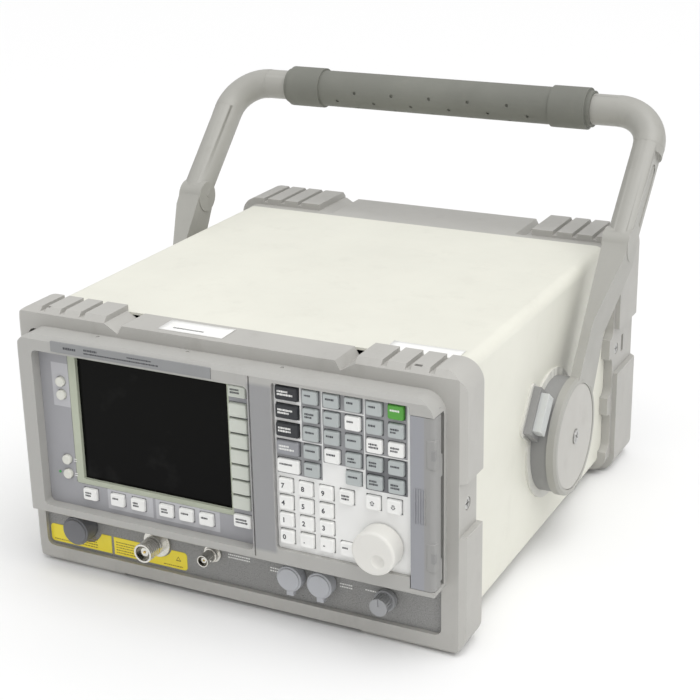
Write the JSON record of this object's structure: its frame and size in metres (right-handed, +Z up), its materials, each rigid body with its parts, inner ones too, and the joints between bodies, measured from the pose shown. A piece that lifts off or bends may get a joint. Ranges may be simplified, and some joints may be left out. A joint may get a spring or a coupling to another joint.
{
  "type": "spectrum analyzer",
  "caption": "Portable bench spectrum analyzer with sleeve cover, bumpered front and rear frames, display, keypad, knobs, RF connectors, disk door and a swinging carry handle.",
  "frame": {"origin": "on the bench, centred between the side bumpers and midway between the front of the tuning knob and the rear bumpers", "axes": "+X to the right when facing the display, +Y from the front towards the rear, +Z up"},
  "size_m": [0.4404, 0.4436, 0.345],
  "materials": {
    "frame_plastic": "satin",
    "bezel_plastic": "satin",
    "panel_plastic": "satin",
    "gasket": "satin",
    "screen_glass": "gloss",
    "steel_can": "satin",
    "plate_satin": "satin",
    "white_panel": "satin",
    "board": "satin",
    "dark_panel": "satin",
    "label_yellow": "gloss",
    "cap_black": "satin",
    "nickel": "polished",
    "cap_grey": "satin",
    "knob_grey": "satin",
    "drive_plastic": "satin",
    "pin_steel": "satin",
    "cover_paint": "satin",
    "rf_cast": "satin",
    "rear_paint": "satin",
    "black_plastic": "satin",
    "blue_plastic": "satin",
    "handle_paint": "satin",
    "grip_rubber": "satin",
    "base_plastic": "satin",
    "escutcheon": "satin",
    "button_plastic": "satin",
    "key_light": "gloss",
    "key_grey": "satin",
    "key_black": "satin",
    "key_green": "satin",
    "key_white": "satin"
  },
  "bodies": {
    "case": {"front_frame": "frame_plastic", "front_bezel": "bezel_plastic", "display_panel": "panel_plastic", "display_gasket": "gasket", "display_glass": "screen_glass", "lcd_module": "steel_can", "name_plate": "plate_satin", "keypad_panel": "white_panel", "keypad_backing": "board", "connector_panel": "dark_panel", "warning_label": "label_yellow", "n_connector": "nickel", "bnc_connector": "nickel", "disk_drive": "drive_plastic", "door_pin": "pin_steel", "sleeve_cover": "cover_paint", "chassis_tray": "steel_can", "power_supply": "steel_can", "rf_deck": "rf_cast", "processor_board": "board", "rear_frame": "frame_plastic", "rear_panel": "rear_paint", "rear_bnc_group": "nickel", "gpib_connector": "black_plastic", "video_connector": "blue_plastic", "power_inlet": "black_plastic", "fan_grille": "pin_steel", "fan_frame": "black_plastic", "pivot_base_left": "base_plastic", "pivot_base_right": "base_plastic", "side_escutcheons": "escutcheon", "frame_screws": "pin_steel"},
    "handle": {"handle_bail": "handle_paint", "handle_grip": "grip_rubber", "hub_discs": "frame_plastic", "hub_screws": "pin_steel"},
    "door": {"media_door": "bezel_plastic"},
    "tuning_knob": {"rpg_knob": "knob_grey"},
    "volume": {"volume_knob": "knob_grey"},
    "fan": {"fan_rotor": "black_plastic"},
    "release_left": {"release_button_left": "button_plastic"},
    "release_right": {"release_button_right": "button_plastic"},
    "rf_cap": {"rf_out_cap": "cap_black"},
    "probe_cap": {"probe_power_cap": "cap_grey"},
    "keyboard_cap": {"ext_keyboard_cap": "cap_grey"},
    "key_power_on_body": {"key_power_on": "key_light"},
    "key_standby_body": {"key_standby": "key_light"},
    "view_keys_body": {"view_keys": "key_light"},
    "key_help_body": {"key_help": "key_light"},
    "key_esc_body": {"key_esc": "key_light"},
    "softkeys_body": {"softkeys": "key_light"},
    "key_return_body": {"key_return": "key_light"},
    "tab_keys_body": {"tab_keys": "key_light"},
    "band_keys_body": {"band_keys": "key_black"},
    "key_preset_body": {"key_preset": "key_green"},
    "white_keys_body": {"white_keys": "key_white"},
    "grey_keys_body": {"grey_keys": "key_grey"},
    "number_keys_body": {"number_keys": "key_white"},
    "key_enter_body": {"key_enter": "key_white"},
    "arrow_keys_body": {"arrow_keys": "key_white"}
  },
  "joints": [
    {"name": "handle_pivot", "type": "hinge", "parent": "case", "child": "handle", "pos_m": [0, 0.01875, 0.097], "axis": [1, 0, 0], "range_deg": [-52, 143]},
    {"name": "door_hinge", "type": "hinge", "parent": "case", "child": "door", "pos_m": [0.1735, -0.19575, 0.128], "axis": [0, 0, 1], "range_deg": [0, 85]},
    {"name": "tuning_knob_turn", "type": "hinge", "parent": "case", "child": "tuning_knob", "pos_m": [0.1345, -0.20725, 0.09], "axis": [0, 1, 0], "continuous": true},
    {"name": "volume_turn", "type": "hinge", "parent": "case", "child": "volume", "pos_m": [0.1275, -0.18325, 0.034], "axis": [0, 1, 0], "range_deg": [-150, 150]},
    {"name": "fan_spin", "type": "hinge", "parent": "case", "child": "fan", "pos_m": [-0.105, 0.20575, 0.118], "axis": [0, 1, 0], "continuous": true},
    {"name": "release_left_press", "type": "slide", "parent": "case", "child": "release_left", "axis": [1, 0, 0], "range_m": [0, 0.003], "stiffness_N_per_m": 900},
    {"name": "release_right_press", "type": "slide", "parent": "case", "child": "release_right", "axis": [-1, 0, 0], "range_m": [0, 0.003], "stiffness_N_per_m": 900},
    {"name": "rf_cap_pull", "type": "slide", "parent": "case", "child": "rf_cap", "axis": [0, -1, 0], "range_m": [0, 0.025]},
    {"name": "probe_cap_pull", "type": "slide", "parent": "case", "child": "probe_cap", "axis": [0, -1, 0], "range_m": [0, 0.018]},
    {"name": "keyboard_cap_pull", "type": "slide", "parent": "case", "child": "keyboard_cap", "axis": [0, -1, 0], "range_m": [0, 0.018]},
    {"name": "key_power_on_press", "type": "slide", "parent": "case", "child": "key_power_on_body", "axis": [0, 1, 0], "range_m": [0, 0.0012], "stiffness_N_per_m": 400},
    {"name": "key_standby_press", "type": "slide", "parent": "case", "child": "key_standby_body", "axis": [0, 1, 0], "range_m": [0, 0.0012], "stiffness_N_per_m": 400},
    {"name": "view_keys_press", "type": "slide", "parent": "case", "child": "view_keys_body", "axis": [0, 1, 0], "range_m": [0, 0.0012], "stiffness_N_per_m": 400},
    {"name": "key_help_press", "type": "slide", "parent": "case", "child": "key_help_body", "axis": [0, 1, 0], "range_m": [0, 0.0012], "stiffness_N_per_m": 400},
    {"name": "key_esc_press", "type": "slide", "parent": "case", "child": "key_esc_body", "axis": [0, 1, 0], "range_m": [0, 0.0012], "stiffness_N_per_m": 400},
    {"name": "softkeys_press", "type": "slide", "parent": "case", "child": "softkeys_body", "axis": [0, 1, 0], "range_m": [0, 0.0012], "stiffness_N_per_m": 400},
    {"name": "key_return_press", "type": "slide", "parent": "case", "child": "key_return_body", "axis": [0, 1, 0], "range_m": [0, 0.0012], "stiffness_N_per_m": 400},
    {"name": "tab_keys_press", "type": "slide", "parent": "case", "child": "tab_keys_body", "axis": [0, 1, 0], "range_m": [0, 0.0012], "stiffness_N_per_m": 400},
    {"name": "band_keys_press", "type": "slide", "parent": "case", "child": "band_keys_body", "axis": [0, 1, 0], "range_m": [0, 0.0012], "stiffness_N_per_m": 400},
    {"name": "key_preset_press", "type": "slide", "parent": "case", "child": "key_preset_body", "axis": [0, 1, 0], "range_m": [0, 0.0012], "stiffness_N_per_m": 400},
    {"name": "white_keys_press", "type": "slide", "parent": "case", "child": "white_keys_body", "axis": [0, 1, 0], "range_m": [0, 0.0012], "stiffness_N_per_m": 400},
    {"name": "grey_keys_press", "type": "slide", "parent": "case", "child": "grey_keys_body", "axis": [0, 1, 0], "range_m": [0, 0.0012], "stiffness_N_per_m": 400},
    {"name": "number_keys_press", "type": "slide", "parent": "case", "child": "number_keys_body", "axis": [0, 1, 0], "range_m": [0, 0.0012], "stiffness_N_per_m": 400},
    {"name": "key_enter_press", "type": "slide", "parent": "case", "child": "key_enter_body", "axis": [0, 1, 0], "range_m": [0, 0.0012], "stiffness_N_per_m": 400},
    {"name": "arrow_keys_press", "type": "slide", "parent": "case", "child": "arrow_keys_body", "axis": [0, 1, 0], "range_m": [0, 0.0012], "stiffness_N_per_m": 400}
  ]
}
